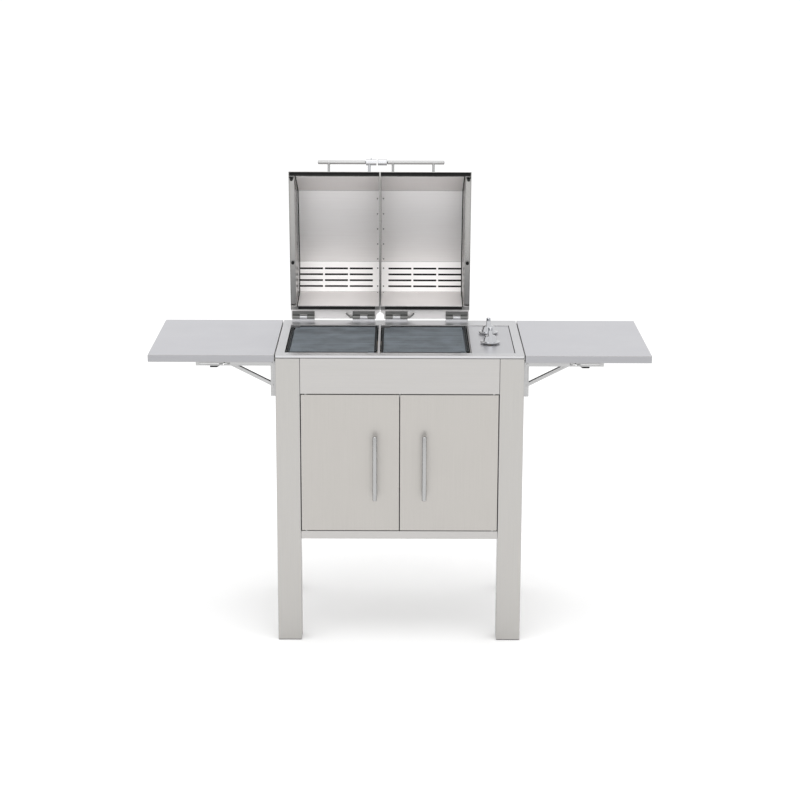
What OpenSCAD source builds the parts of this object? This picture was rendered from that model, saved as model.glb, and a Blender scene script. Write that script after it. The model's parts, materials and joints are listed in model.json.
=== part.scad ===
// Gas barbecue on a legged stainless cabinet, with two hinged lids standing open over
// two ribbed hotplates, a control panel at the right and a folding shelf at each side.
// Millimetres, +Z up. The origin is on the floor under the middle of the bounding box.

/* [Body] */
// Width across the legs
body_w = 750; // [740:1:770]
// Depth from the front legs' faces to the rear legs' backs
body_d = 500; // [495:1:510]
// Height of the top above the floor
top_z = 910; // [880:1:940]
// Width of a front leg
front_leg_w = 73; // [68:1:76]
// Depth of a front leg
front_leg_d = 60; // [58:1:60]
// Side of a square rear leg
rear_leg_w = 40; // [36:1:42]
// Thickness of the folded sheet
sheet = 2; // [1.5:0.1:2]
// Height of the top frame's turned-down lip
lip_h = 8; // [6:1:10]
// Height of the fascia under the lip
fascia_h = 110; // [105:1:120]
// Height of the rail under the doors
rail_h = 25; // [20:1:30]
// Height of the cabinet's underside above the floor
cabinet_z = 331; // [300:1:350]

/* [Cooking area] */
// Left edge of the hotplate opening
opening_left = -348; // [-349:1:-340]
// Right edge of the hotplate opening
opening_right = 213.5; // [205:0.5:214]
// Front edge of the hotplate opening, behind the front legs' faces
opening_front = 37; // [36:1:40]
// Rear edge of the hotplate opening
opening_rear = 426; // [420:1:427]
// Middle of the seam between the two lids and the two plates
seam_x = -64; // [-70:1:-60]
// Width of the bar between the plates
divider_w = 8; // [6:1:10]
// Gap round each plate
plate_gap = 3.5; // [3:0.5:5]
// Spacing of the plates' ribs
rib_pitch = 10; // [8:1:14]

/* [Controls] */
// Right edge of the control panel's recess
panel_right = 349; // [345:1:350]
// Knob axes, to the right of the middle
knob_x = 279; // [275:1:285]
// Front knob's axis behind the front legs' faces
knob_front_y = 177; // [150:1:200]
// Rear knob's axis behind the front legs' faces
knob_rear_y = 317; // [300:1:340]
// Diameter of a knob's skirt
knob_d = 61; // [50:1:64]
// Height of a knob
knob_h = 47; // [40:1:52]

/* [Lids] */
// Outer width of one lid
lid_w = 287.5; // [286:0.5:288]
// Angle between a closed lid and an open one
lid_open = 83; // [75:1:88]
// Space between a lid's liner and its skin
lid_gap = 10; // [8:1:12]
// Thickness of a lid's double outer end
cheek_w = 18; // [14:1:20]
// Lid hinge axis behind the front legs' faces
hinge_y = 485; // [484:1:487]
// Lid hinge axis above the top
hinge_h = 13; // [12:1:15]
// Width of a hinge leaf
leaf_w = 72; // [60:1:74]
// Diameter of the handle bars
bar_d = 12; // [10:0.5:15]
// Free length of a handle post
post_len = 46; // [40:1:52]

/* [Doors] */
// Gap round each door
door_gap = 3; // [2.5:0.5:3]
// Depth of a door's folded edge
door_t = 18; // [15:1:20]
// Distance of each door handle from the middle
door_handle_x = 75; // [60:1:90]
// Length of a door handle
door_handle_len = 205; // [180:1:240]

/* [Shelves] */
// Width of one shelf
shelf_w = 380; // [360:1:400]
// Height of a shelf's folded edge
shelf_t = 22; // [20:1:22]
// Length of a bracket's folding brace
brace_len = 150; // [140:1:160]

/* [Hidden] */
$fn = 48;

steel = "gainsboro";
satin = "silver";
chrome = "whitesmoke";
iron = "slategray";
rubber = "black";

// Sliding clearance of a pin in its hole, all round
run = 0.05;
// Overcut that carries a hole past the faces it opens
past = 1;

half_w = body_w / 2;
leg_inner_x = half_w - front_leg_w;
frame_z = top_z - lip_h;
leg_top = frame_z - 2;
shadow = 4;
fascia_z = leg_top - fascia_h;
rail_top = cabinet_z + rail_h;
plug_h = 10;
cap_h = 2;
slip = 0.8;

// Side panels stand back from the legs' outer faces, which leaves room for folded levers
panel_x = half_w - 20;

// Lid profile when closed, inside the liner: [distance back, height above the top]
lid_path = [[14, 3], [102, 156], [353, 192], [447, 162], [443, 3]];
lid_wall = lid_gap + 2 * sheet;
bar_rise = lid_wall + post_len;
flange_h = hinge_h + 6.6;
plug_t = 3;
seal_inset = 6;
seam_plug_w = 14;
knuckle_r = 6;
pin_r = 3;
outer_leaf_x = 4;
leaf_reach = 18;
inner_leaf_x = 199;

// Vent slots in a lid, three columns of four
slot_w = 75;
slot_h = 5;
slot_pitch_x = 82;
slot_pitch = 19.4;
slot_margin_x = 23;
slot_margin = 23;

// Handle of a lid, measured from the seam and up the front panel
bar_reach = 201;
outer_post = 165.5;
inner_post = 37;
post_share = 0.3;
post_r = 5;
collar_r = 9.5;
handle_shift = 3;
left_collar = [47.6, 14.3];
right_collar = [18, -11];
thumb_x = 31.4;
bolt_r = 4;
thumb_r = 1.5;

// Shelf brackets
shelf_z = top_z - shelf_t;
bracket_front_y = 45;
bracket_rear_y = body_d - 23.5;
fold_x = half_w + 10;
fold_z = shelf_z - 10;
brace_drop = 68;
brace_z = fold_z - brace_drop;
brace_reach = sqrt(brace_len * brace_len - brace_drop * brace_drop);
arm_len = brace_len + brace_drop + 14;
axle_r = 2.5;
lever_u = 148;

// Fire and gas
tub_x0 = opening_left - 4.5;
tub_x1 = opening_right + 4;
tub_y0 = opening_front - 4;
tub_y1 = opening_rear + 4;
tub_z = top_z - 104;
plate_z = top_z - 14;
groove_floor = 4;
gas_z = top_z - 42;
stem_r = 4;
burner_r = 14;
manifold_r = 8;
manifold_x = knob_x + 33;
inlet_r = 10.5;
inlet_len = 16;
tray_x0 = -185;
tray_x1 = 55;
tray_z1 = tub_z - 6;
tray_z0 = tray_z1 - 34;
stem_z0 = top_z - 34;
stem_z1 = top_z + 22;
knob_z0 = top_z + 1.5;

door_x = leg_inner_x - door_gap;
door_z0 = rail_top + 2.5;
door_z1 = fascia_z - 2.5;
door_pivot_x = door_x - 14;
door_pivot_y = 7;
door_bar_y = -30;
door_bar_r = 7;

// The whole model moves along Y so that the middle of its depth is at zero
front_reach = door_bar_r - door_bar_y;
rear_reach = max([for (p = shifted(skin_path(), lid_wall)) opened_y(p)]);
stand_y = -(rear_reach - front_reach) / 2;

// ---------------------------------------------------------------- helpers

function unit(v) = v / norm(v);
function normal(a, b) = let (u = unit(b - a)) [-u[1], u[0]];
function flipped(path) = [for (i = [len(path) - 1 : -1 : 0]) path[i]];

// A path moved sideways by d, with mitred corners
function shifted(path, d) = [
    for (i = [0 : len(path) - 1])
        let (
            last = len(path) - 1,
            before = normal(path[max(i - 1, 0)], path[max(i, 1)]),
            after = normal(path[min(i, last - 1)], path[min(i + 1, last)])
        )
        path[i] + d * (before + after) / (1 + before * after)
];

// Outline of a sheet that lies between two distances from a path
function sheet_outline(path, near, far) = concat(shifted(path, near), flipped(shifted(path, far)));

// The skin starts lower than the liner, so that both reach the rim's height
function skin_path() = let (
        front = unit(lid_path[1] - lid_path[0]),
        reach = lid_wall * front[0] / front[1]
    )
    concat([lid_path[0] - reach * front], [for (i = [1 : len(lid_path) - 1]) lid_path[i]]);

// Where a point of a closed lid lies when the lid is open
function opened_y(p) = hinge_y + (p[0] - hinge_y) * cos(lid_open) + (p[1] - hinge_h) * sin(lid_open);

// A point of one of the lid profile's sides, and that side's slope
function on_side(i, along) = lid_path[i] + along * unit(lid_path[i + 1] - lid_path[i]);
function slope(i) = let (d = lid_path[i + 1] - lid_path[i]) atan2(d[1], d[0]);

module box(a, b) translate(a) cube(b - a);

module rod_x(x0, x1, y, z, r) translate([x0, y, z]) rotate([0, 90, 0]) cylinder(r = r, h = x1 - x0);

module rod_y(x, y0, y1, z, r) translate([x, y1, z]) rotate([90, 0, 0]) cylinder(r = r, h = y1 - y0);

module rod_z(x, y, z0, z1, r) translate([x, y, z0]) cylinder(r = r, h = z1 - z0);

// A rod between two points
module rod(a, b, r) {
    d = b - a;
    translate(a)
        rotate([0, acos(d[2] / norm(d)), atan2(d[1], d[0])])
            cylinder(r = r, h = norm(d));
}

// A [back, height] outline drawn along X
module along_x(x0, x1) translate([x0, 0, 0]) rotate([90, 0, 90]) linear_extrude(x1 - x0) children();

// Everything is drawn with Y at zero on the front legs' faces, then moved into place
module stand() translate([0, stand_y, 0]) children();

// A right-hand piece is the left-hand one reflected
module right_hand() mirror([1, 0, 0]) children();

// ---------------------------------------------------------------- legs and cabinet

module leg(x0, x1, y0, y1) {
    difference() {
        box([x0, y0, cap_h], [x1, y1, leg_top]);
        box([x0 + sheet, y0 + sheet, cap_h - past], [x1 - sheet, y1 - sheet, leg_top - sheet]);
    }
}

// The corner that the firebox would meet is cut away
module front_leg() difference() {
    leg(-half_w, -leg_inner_x, 0, front_leg_d);
    box([tub_x0 - 1.5, tub_y0 - 1.5, tub_z - 2], [-leg_inner_x + past, front_leg_d + past, leg_top + past]);
}

module rear_leg() leg(-half_w, -half_w + rear_leg_w, body_d - rear_leg_w, body_d);

module front_leg_left() color(steel) stand() front_leg();

module front_leg_right() color(steel) stand() right_hand() front_leg();

module rear_leg_left() color(steel) stand() rear_leg();

module rear_leg_right() color(steel) stand() right_hand() rear_leg();

// A plug in a leg's open end, with a plate that stands on the floor
module foot_cap(x0, x1, y0, y1) {
    inset = 1;
    fit = sheet + 0.3;
    box([x0 + inset, y0 + inset, 0], [x1 - inset, y1 - inset, cap_h]);
    box([x0 + fit, y0 + fit, cap_h], [x1 - fit, y1 - fit, cap_h + plug_h]);
}

module foot_cap_pair() {
    foot_cap(-half_w, -leg_inner_x, 0, front_leg_d);
    foot_cap(-half_w, -half_w + rear_leg_w, body_d - rear_leg_w, body_d);
}

module foot_caps() color(rubber) stand() {
    foot_cap_pair();
    right_hand() foot_cap_pair();
}

// A folded front panel: a face with a return along its top and its bottom
module folded_panel(z0, z1, depth) {
    x = leg_inner_x - slip;
    y = 1;
    difference() {
        box([-x, y, z0], [x, depth, z1]);
        box([-x - past, y + sheet, z0 + sheet], [x + past, depth + past, z1 - sheet]);
    }
}

module fascia() color(steel) stand() folded_panel(fascia_z, leg_top, 14);

module bottom_rail() color(steel) stand() folded_panel(cabinet_z, rail_top, 22);

module side_panel()
    box([-panel_x - sheet, front_leg_d, cabinet_z], [-panel_x, body_d - rear_leg_w, leg_top]);

module side_panel_left() color(steel) stand() side_panel();

module side_panel_right() color(steel) stand() right_hand() side_panel();

// Back sheet with a slot for the drip tray, a hole for the gas pipe and two groups of air slots
module back_panel() color(steel) stand() {
    air_x = 130;
    air_w = 120;
    air_h = 8;
    air_pitch = 24;
    x = half_w - rear_leg_w;
    y = body_d - 4;
    difference() {
        box([-x, y, cabinet_z], [x, y + sheet, leg_top]);
        box([tray_x0 - 8, y - past, tray_z0 - 4], [tray_x1 + 8, y + sheet + past, tray_z1 + 3]);
        rod_y(manifold_x, y - past, y + sheet + past, gas_z, manifold_r + 2);
        for (side = [-1, 1], i = [0 : 5]) {
            z = cabinet_z + 69 + air_pitch * i;
            x0 = side * air_x - air_w / 2;
            box([x0, y - past, z], [x0 + air_w, y + sheet + past, z + air_h]);
        }
    }
}

module cabinet_floor() color(steel) stand() {
    z = cabinet_z + 9;
    x = panel_x;
    y0 = 24;
    y1 = body_d - 4;
    difference() {
        box([-x, y0, z], [x, y1, z + sheet]);
        for (side = [-1, 1]) {
            notch_x = side * (x + leg_inner_x - 1) / 2;
            translate([notch_x, y0, z])
                cube([x - leg_inner_x + 1, 2 * (front_leg_d - y0), 3 * sheet], center = true);
            rear_x = side * (x + half_w - rear_leg_w) / 2;
            translate([rear_x, y1, z])
                cube([x - half_w + rear_leg_w, 2 * (rear_leg_w - 4), 3 * sheet], center = true);
        }
    }
}

// ---------------------------------------------------------------- top

// Turned-down edge round an opening of the top
module opening_edge(x0, x1) {
    y0 = opening_front;
    y1 = opening_rear;
    box([x0 - sheet, y0 - sheet, leg_top], [x1 + sheet, y1 + sheet, top_z - sheet]);
}

// A lipped sheet on an inset rail, so that a shadow line runs above the legs and the fascia
module top_frame() color(steel) stand() {
    rail = 10;
    x = half_w - shadow;
    difference() {
        union() {
            difference() {
                box([-half_w, 0, frame_z], [half_w, body_d, top_z]);
                box([-half_w + sheet, sheet, frame_z - past], [half_w - sheet, body_d - sheet, top_z - sheet]);
            }
            difference() {
                box([-x, shadow, leg_top], [x, body_d - shadow, top_z - sheet]);
                box([-x + rail, shadow + rail, leg_top - past],
                    [x - rail, body_d - shadow - rail, top_z - sheet]);
            }
            opening_edge(opening_left, opening_right);
            opening_edge(opening_right + past, panel_right);
        }
        box([opening_left, opening_front, leg_top - past], [opening_right, opening_rear, top_z + past]);
        box([opening_right + sheet, opening_front, leg_top - past], [panel_right, opening_rear, top_z + past]);
    }
}

// A sunk panel with a gap round it and a hole for each valve stem
module control_panel() color(satin) stand() {
    z = top_z - 4;
    gap = 1.6;
    difference() {
        box([opening_right + sheet + gap, opening_front + 0.4, z],
            [panel_right - gap, opening_rear - gap, z + sheet]);
        for (y = [knob_front_y, knob_rear_y])
            rod_z(knob_x, y, z - past, z + sheet + past, stem_r + 2);
    }
}

module plate_divider() color(steel) stand()
    box([seam_x - divider_w / 2, opening_front + 0.2, plate_z - 0.2],
        [seam_x + divider_w / 2, opening_rear - 0.2, top_z - 0.5]);

// Open tub with ledges for the plates, holes for the burners and a slot over the drip tray
module firebox() color(satin) stand() {
    rim_z = top_z - sheet;
    ledge = 12;
    slot_inset = 60;
    slot_y = 200;
    slot_d = 60;
    difference() {
        box([tub_x0, tub_y0, tub_z], [tub_x1, tub_y1, rim_z]);
        box([tub_x0 + sheet, tub_y0 + sheet, tub_z + sheet], [tub_x1 - sheet, tub_y1 - sheet, rim_z + past]);
        for (y = [knob_front_y, knob_rear_y])
            rod_x(tub_x1 - sheet - past, tub_x1 + past, y, gas_z, burner_r + 1);
        box([tray_x0 + slot_inset, slot_y, tub_z - past],
            [tray_x1 - slot_inset, slot_y + slot_d, tub_z + sheet + past]);
        box([opening_right, tub_y0 - past, leg_top], [tub_x1 + past, tub_y1 + past, rim_z + past]);
    }
    for (y = [tub_y0 + sheet, tub_y1 - sheet - ledge])
        box([tub_x0 + sheet, y, plate_z - 8], [tub_x1 - sheet, y + ledge, plate_z - 0.2]);
    tray_runner(tray_x0 - sheet - 1, 6);
    tray_runner(tray_x1 + 1, -4);
}

// A rail under the tub: a web that hangs from it and a foot that carries the tray's flange
module tray_runner(x, inward) {
    y0 = 80;
    y1 = body_d - 6;
    foot_z = tray_z1 - 3 - sheet;
    box([x, y0, foot_z], [x + sheet, y1, tub_z]);
    box([min(x, x + inward), y0, foot_z], [max(x, x + inward), y1, foot_z + sheet]);
}

// Burner tube with a flared mouth, gas slots along it and a peg at its closed end
module burner(y) {
    x0 = opening_left + 14;
    x1 = knob_x - 34;
    wall = 1.5;
    mouth = 16;
    difference() {
        union() {
            rod_x(x0, x1, y, gas_z, burner_r);
            rod_x(x1 - mouth, x1, y, gas_z, burner_r + 2);
            rod_x(tub_x0 + sheet, x0, y, gas_z, 4);
        }
        rod_x(x0 + wall, x1 + past, y, gas_z, burner_r - wall);
        for (x = [x0 + 20 : 30 : opening_right - 20])
            box([x, y - 1, gas_z + 8], [x + 18, y + 1, gas_z + burner_r + past]);
    }
}

module burner_front() color(satin) stand() burner(knob_front_y);

module burner_rear() color(satin) stand() burner(knob_rear_y);

// Gas rail with a closed front end, and an inlet spigot that stands out of the back
module gas_manifold() color("goldenrod") stand() {
    y0 = knob_front_y - 40;
    y1 = body_d + 6;
    difference() {
        union() {
            rod_y(manifold_x, y0, y1, gas_z, manifold_r);
            rod_y(manifold_x, y1, y1 + inlet_len, gas_z, inlet_r);
            rod_y(manifold_x, body_d - sheet, y1, gas_z, inlet_r + 4);
        }
        rod_y(manifold_x, y0 + 3, y1 + inlet_len + past, gas_z, manifold_r - 2.5);
    }
}

// Valve: a body under the panel, an arm to the rail and a jet that points into the burner
module gas_valve(y) {
    half = 13;
    z0 = gas_z - 12;
    z1 = top_z - 16;
    difference() {
        union() {
            box([knob_x - half, y - half, z0], [knob_x + half, y + half, z1]);
            rod_x(knob_x + half, manifold_x - manifold_r, y, gas_z, 5);
            rod_x(knob_x - half - 14, knob_x - half, y, gas_z, 5);
        }
        rod_z(knob_x, y, stem_z0, z1 + past, stem_r + run);
    }
}

module gas_valves() color("goldenrod") stand() {
    gas_valve(knob_front_y);
    gas_valve(knob_rear_y);
}

module stem(y) difference() {
    rod_z(knob_x, y, stem_z0 + 0.5, stem_z1, stem_r);
    box([knob_x - stem_r - past, y + stem_r - 1, stem_z1 - 16],
        [knob_x + stem_r + past, y + stem_r + past, stem_z1 + past]);
}

module stem_front() color(satin) stand() stem(knob_front_y);

module stem_rear() color(satin) stand() stem(knob_rear_y);

// Flange, cup and round finger post with a pointer fin, and a blind bore for the stem
module knob(y) translate([knob_x, y, knob_z0]) {
    r = knob_d / 2;
    foot = 3;
    cup = 21;
    neck = 17.5;
    shoulder = 18;
    post = 6.5;
    fin_w = 11;
    fin_top = knob_h - 9;
    difference() {
        union() {
            rotate_extrude()
                polygon([
                    [0, 0], [r - 1, 0], [r, 1], [r, foot - 0.5], [r - 1, foot], [cup + 1, foot + 1.5],
                    [cup, foot + 3], [neck, shoulder], [neck - 2, shoulder + 3],
                    [post + 2, shoulder + 6], [post, shoulder + 8], [post, knob_h - 1.5],
                    [post - 1.5, knob_h], [0, knob_h]
                ]);
            along_x(-fin_w / 2, fin_w / 2)
                polygon([
                    [0, foot - 1], [-r + 3, foot - 1], [-r + 3, foot + 1.5], [-post - 0.5, fin_top],
                    [0, fin_top]
                ]);
        }
        translate([0, 0, -past])
            cylinder(r = stem_r + run, h = stem_z1 - knob_z0 + 4 + past);
    }
}

module knob_front() color(chrome) stand() knob(knob_front_y);

module knob_rear() color(chrome) stand() knob(knob_rear_y);

// ---------------------------------------------------------------- plates and tray

// Cross-section of a plate along its depth: a slab with a row of tapered ribs
function rib_outline(y0, y1) = let (
        rim = 14,
        slab = plate_z + 7,
        crest = top_z - 2,
        count = floor((y1 - y0 - 2 * rim) / rib_pitch),
        first = (y0 + y1 - count * rib_pitch) / 2
    )
    concat(
        [[y0, plate_z], [y0, crest], [y0 + rim, crest], [y0 + rim, slab]],
        [
            for (i = [0 : count - 1], p = [[2, 0], [3, 1], [7, 1], [8, 0]])
                [first + i * rib_pitch + p[0], p[1] == 0 ? slab : crest]
        ],
        [[y1 - rim, slab], [y1 - rim, crest], [y1, crest], [y1, plate_z]]
    );

// Ribbed iron plate with a side rail at each end, a groove inside the outer rail, which is at
// the left or right by its side, and a drain slot in two corners
module hotplate(x0, x1, side) {
    y0 = opening_front + plate_gap;
    y1 = opening_rear - plate_gap;
    rail = 7;
    groove = 4;
    groove_x = side < 0 ? x0 + rail : x1 - rail - groove;
    drain = [26, 28, 40];
    difference() {
        union() {
            along_x(x0 + rail, x1 - rail) polygon(rib_outline(y0, y1));
            box([x0, y0, plate_z], [x0 + rail, y1, top_z - 1]);
            box([x1 - rail, y0, plate_z], [x1, y1, top_z - 1]);
        }
        translate([x0 - past, y1 - drain[1] + past, plate_z - past]) cube(drain);
        translate([x1 - drain[0] + past, y0 - past, plate_z - past]) cube(drain);
        box([groove_x, y0 + 2 * rail, plate_z + groove_floor],
            [groove_x + groove, y1 - 2 * rail, top_z + past]);
    }
}

module hotplate_left() color(iron) stand()
    hotplate(opening_left + plate_gap, seam_x - divider_w / 2 - plate_gap, -1);

module hotplate_right() color(iron) stand()
    hotplate(seam_x + divider_w / 2 + plate_gap, opening_right - plate_gap, 1);

// Flanged tray that slides out through the back, with a tab to pull it by
module drip_tray() color(satin) stand() {
    y0 = 90;
    y1 = body_d - 24;
    flange = 6;
    difference() {
        union() {
            box([tray_x0 + flange, y0, tray_z0], [tray_x1 - flange, y1, tray_z1]);
            box([tray_x0, y0, tray_z1 - sheet], [tray_x1, y1, tray_z1]);
        }
        box([tray_x0 + flange + sheet, y0 + sheet, tray_z0 + sheet],
            [tray_x1 - flange - sheet, y1 - sheet, tray_z1 + past]);
    }
    middle = (tray_x0 + tray_x1) / 2;
    box([middle - 40, y1, tray_z1 - 12], [middle + 40, body_d + 4, tray_z1 - 10]);
    box([middle - 40, body_d + 2, tray_z1 - 26], [middle + 40, body_d + 4, tray_z1 - 12]);
}

// ---------------------------------------------------------------- doors

// Door pan, closed at the front and open at the back between its lips, hung on two pins
module door() {
    lip = 12;
    difference() {
        box([-door_x, 0, door_z0], [-door_gap / 2, door_t, door_z1]);
        box([-door_x + sheet, sheet, door_z0 + sheet],
            [-door_gap / 2 - sheet, door_t - sheet, door_z1 - sheet]);
        box([-door_x + lip, door_t - sheet - past, door_z0 + lip],
            [-door_gap / 2 - lip, door_t + past, door_z1 - lip]);
        rod_z(-door_pivot_x, door_pivot_y, door_z0 - past, door_z0 + sheet + past, pin_r + run);
        rod_z(-door_pivot_x, door_pivot_y, door_z1 - sheet - past, door_z1 + past, pin_r + run);
    }
}

module door_left() color(steel) stand() door();

module door_right() color(steel) stand() right_hand() door();

// Upright bar on two posts
module door_handle() {
    middle = (door_z0 + door_z1) / 2 - 9;
    inset = 24;
    rod_z(-door_handle_x, door_bar_y, middle - door_handle_len / 2, middle + door_handle_len / 2, door_bar_r);
    for (side = [-1, 1])
        rod_y(-door_handle_x, door_bar_y, 0, middle + side * (door_handle_len / 2 - inset), post_r);
}

module door_handle_left() color(satin) stand() door_handle();

module door_handle_right() color(satin) stand() right_hand() door_handle();

// Pivot pins with washers under the fascia and on the rail, and a magnetic catch
module door_fitting_set() {
    reach = 9;
    washer = 1.5;
    rod_z(-door_pivot_x, door_pivot_y, rail_top, door_z0 + reach, pin_r);
    rod_z(-door_pivot_x, door_pivot_y, rail_top, rail_top + washer, pin_r + 2);
    rod_z(-door_pivot_x, door_pivot_y, door_z1 - reach, fascia_z, pin_r);
    rod_z(-door_pivot_x, door_pivot_y, fascia_z - washer, fascia_z, pin_r + 2);
}

module door_fittings() color(satin) stand() {
    door_fitting_set();
    right_hand() door_fitting_set();
    catch = 24;
    box([-catch, door_t + 1, fascia_z - 14], [catch, door_t + 9, fascia_z + 6]);
    box([-catch, 14, fascia_z + 2], [catch, door_t + 1, fascia_z + 6]);
}

// ---------------------------------------------------------------- lids

// Children are drawn closed, with x counted from the outer end to the seam, and stand open
module left_lid() stand() translate([seam_x - 0.5 - lid_w, hinge_y, top_z + hinge_h])
    rotate([-lid_open, 0, 0]) translate([0, -hinge_y, -hinge_h]) children();

module right_lid() stand() translate([seam_x + 0.5 + lid_w, hinge_y, top_z + hinge_h])
    rotate([-lid_open, 0, 0]) translate([0, -hinge_y, -hinge_h]) mirror([1, 0, 0]) children();

// Cutters for the vent slots, between two distances from the profile's vent side
module vent_slots(near, far, lag) {
    for (column = [0 : 2], row = [0 : 3]) {
        corner = on_side(2, slot_margin + row * slot_pitch + lag);
        translate([slot_margin_x + column * slot_pitch_x, corner[0], corner[1]])
            rotate([slope(2), 0, 0])
                translate([0, -slot_h / 2, near])
                    cube([slot_w, slot_h, far - near]);
    }
}

// Outer sheet of a lid with its hinge flange; its slots lie between the liner's rows
module lid_skin() {
    rear = shifted(lid_path, lid_wall)[4][0];
    edge = hinge_y + knuckle_r + 1.5;
    inset = 1;
    notch = 12;
    difference() {
        union() {
            along_x(0, lid_w) polygon(sheet_outline(skin_path(), lid_wall - sheet, lid_wall));
            translate([0, 0, flange_h])
                linear_extrude(sheet)
                    polygon([
                        [inset, rear - inset], [lid_w - inset, rear - inset],
                        [lid_w - inset, rear + 12], [lid_w - notch, rear + 22],
                        [lid_w - notch, edge], [inset, edge]
                    ]);
        }
        vent_slots(lid_wall - sheet - past, lid_wall + past, slot_pitch / 2);
    }
}

module lid_liner() difference() {
    along_x(sheet, lid_w - sheet) polygon(sheet_outline(lid_path, 0, sheet));
    vent_slots(-past, sheet + past, 0);
}

// Plug that closes the rear rim between liner and skin
module rim_plug(x0, x1) {
    rear = unit(lid_path[3] - lid_path[4]);
    along_x(x0, x1)
        polygon(sheet_outline([lid_path[4] + plug_t * rear, lid_path[4]], sheet, lid_wall - sheet));
}

// Hollow outer end of two sheets and a sunk strip, and the single sheet at the seam
module lid_ends() {
    strip_h = 8;
    rim_plug(sheet, cheek_w + seal_inset);
    rim_plug(lid_w - sheet - seam_plug_w, lid_w - sheet);
    along_x(0, sheet) polygon(shifted(skin_path(), lid_wall - sheet));
    along_x(cheek_w - sheet, cheek_w) polygon(lid_path);
    box([sheet, lid_path[0][0] + 8, strip_h], [cheek_w - sheet, lid_path[4][0] - 4, strip_h + sheet]);
    along_x(lid_w - sheet, lid_w) polygon(shifted(skin_path(), lid_wall - sheet));
}

// Seals between liner and skin along the rim and the rear edge, and two buffers
module lid_gasket() {
    front = unit(lid_path[1] - lid_path[0]);
    rear = unit(lid_path[3] - lid_path[4]);
    seal = 10;
    clear = 1;
    buffer_r = 5;
    along_x(sheet, lid_w - sheet)
        polygon(sheet_outline(
            [lid_path[0] + clear * front, lid_path[0] + seal * front], sheet, lid_wall - sheet));
    along_x(cheek_w + seal_inset, lid_w - sheet - seam_plug_w)
        polygon(sheet_outline(
            [lid_path[4] + seal * rear, lid_path[4] + clear * rear], sheet, lid_wall - sheet));
    for (y = [24, 299])
        rod_z(cheek_w / 2, y, 0.6, 8, buffer_r);
}

// Domed rivet heads down the seam, on the liner's inner face
module lid_rivets() {
    for (at = [[1, 28], [1, 82], [1, 136], [1, 190], [1, 244], [2, 22], [2, 81], [3, 12]]) {
        p = on_side(at[0], at[1]);
        translate([lid_w - 9, p[0], p[1]])
            rotate([slope(at[0]), 0, 0])
                mirror([0, 0, 1])
                    cylinder(r1 = 2.5, r2 = 1.6, h = 1.2);
    }
}

// One hinge's share on the lid: a leaf under the flange and the two outer knuckles
module lid_leaf(x) {
    third = leaf_w / 3;
    clear = 0.4;
    difference() {
        union() {
            box([x, hinge_y - leaf_reach, flange_h - sheet], [x + leaf_w, hinge_y, flange_h]);
            for (knuckle_x = [x, x + 2 * third + clear])
                rod_x(knuckle_x, knuckle_x + third - clear, hinge_y, hinge_h, knuckle_r);
        }
        box([x + third - clear, hinge_y - knuckle_r - 1, 0],
            [x + 2 * third + clear, hinge_y + knuckle_r + 1, flange_h + past]);
        rod_x(x - past, x + leaf_w + past, hinge_y, hinge_h, pin_r + run);
    }
}

module lid_leaves() {
    lid_leaf(outer_leaf_x);
    lid_leaf(inner_leaf_x);
}

// A point at a height off the front panel's liner, at the handle
function off_front(rise) = let (p = on_side(0, post_share * norm(lid_path[1] - lid_path[0])))
    p + rise * normal(lid_path[0], lid_path[1]);

// The two handles meet a little to the right of the seam
module left_grip() left_lid() translate([handle_shift, 0, 0]) children();

module right_grip() right_lid() translate([-handle_shift, 0, 0]) children();

module bar_post(reach) {
    foot = off_front(lid_wall);
    head = off_front(bar_rise);
    rod([lid_w - reach, foot[0], foot[1]], [lid_w - reach, head[0], head[1]], post_r);
}

module bar(reach0, reach1, r) {
    head = off_front(bar_rise);
    rod_x(lid_w - reach0, lid_w - reach1, head[0], head[1], r);
}

// The left bar's inner end is carried by its collar, the right one's by a second post
module lid_handle_left() color(chrome) left_grip() {
    bar(bar_reach, left_collar[0], bar_d / 2);
    bar_post(outer_post);
}

module lid_handle_right() color(chrome) right_grip() {
    bar(bar_reach, right_collar[0], bar_d / 2);
    bar_post(outer_post);
    bar_post(inner_post);
}

// Collar on its own post, bored for the link bolt and slotted for the bolt's thumb pin
module handle_collar_left() color(chrome) left_grip() {
    head = off_front(bar_rise);
    bore_end = 40;
    thumb_slot = [16.4, 3.8, collar_r + past];
    difference() {
        union() {
            bar(left_collar[0], left_collar[1], collar_r);
            bar_post(inner_post);
        }
        bar(bore_end, left_collar[1] - past, bolt_r + run);
        translate([lid_w - thumb_x - thumb_slot[1] / 2 - 0.1, head[0], head[1]])
            rotate([slope(0), 0, 0])
                translate([0, -thumb_slot[1] / 2, 0])
                    cube(thumb_slot);
    }
}

// Collar at the free end of the right bar, with the bore that the bolt enters
module handle_collar_right() color(chrome) right_grip() difference() {
    bore_end = 3;
    bar(right_collar[0], right_collar[1], collar_r);
    bar(bore_end, right_collar[1] - past, bolt_r + run);
}

// Bolt that slides across and makes the two handles one
module link_bolt() color(satin) left_grip() {
    head = off_front(bar_rise);
    tip = off_front(bar_rise + collar_r + 6);
    bar(39, 16, bolt_r);
    rod([lid_w - thumb_x, head[0], head[1]], [lid_w - thumb_x, tip[0], tip[1]], thumb_r);
}

// Pull-out pin of an inner hinge, with a bent tail
module hinge_pin() {
    bend_x = inner_leaf_x - 8;
    rod_x(bend_x, inner_leaf_x + leaf_w, hinge_y, hinge_h, pin_r);
    rod([bend_x + 1, hinge_y, hinge_h], [bend_x - 13, hinge_y - 13, hinge_h], 2.4);
}

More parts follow.
